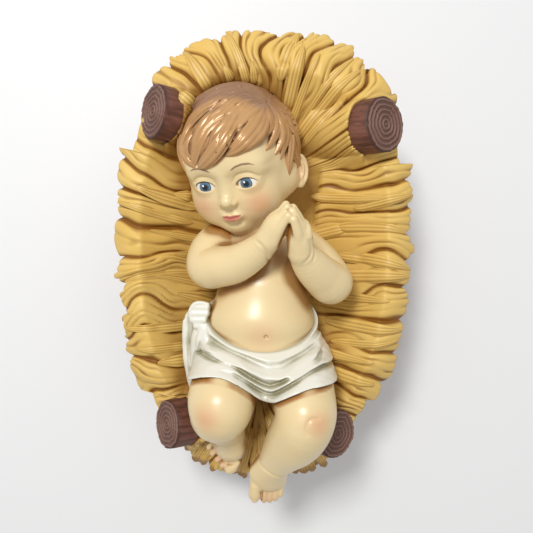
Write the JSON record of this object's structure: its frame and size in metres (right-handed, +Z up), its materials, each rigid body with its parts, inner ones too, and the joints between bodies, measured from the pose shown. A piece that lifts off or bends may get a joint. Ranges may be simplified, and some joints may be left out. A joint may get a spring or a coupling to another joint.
{
  "type": "nativity infant figurine in a straw manger",
  "caption": "Painted cast infant with joined hands lying loose in a straw manger on crossed logs.",
  "frame": {"origin": "on the ground, under the middle of the whole figurine's box", "axes": "+Z up, +Y towards the infant's head, along the manger"},
  "size_m": [0.2018, 0.3144, 0.1657],
  "materials": {
    "painted_skin": "satin skin-coloured paint over cast resin, blushed at the cheeks, knees and navel",
    "painted_hair": "glossy golden brown paint, darker in the grooves between the locks",
    "painted_cloth": "pearly off-white paint",
    "painted_eyes": "high gloss paint",
    "painted_straw": "satin ochre paint, rubbed brown in the grooves",
    "painted_wood": "dull purple-brown paint, lighter on the growth rings"
  },
  "bodies": {
    "root": {"infant": "painted_skin", "manger": "painted_straw"}
  },
  "joints": []
}
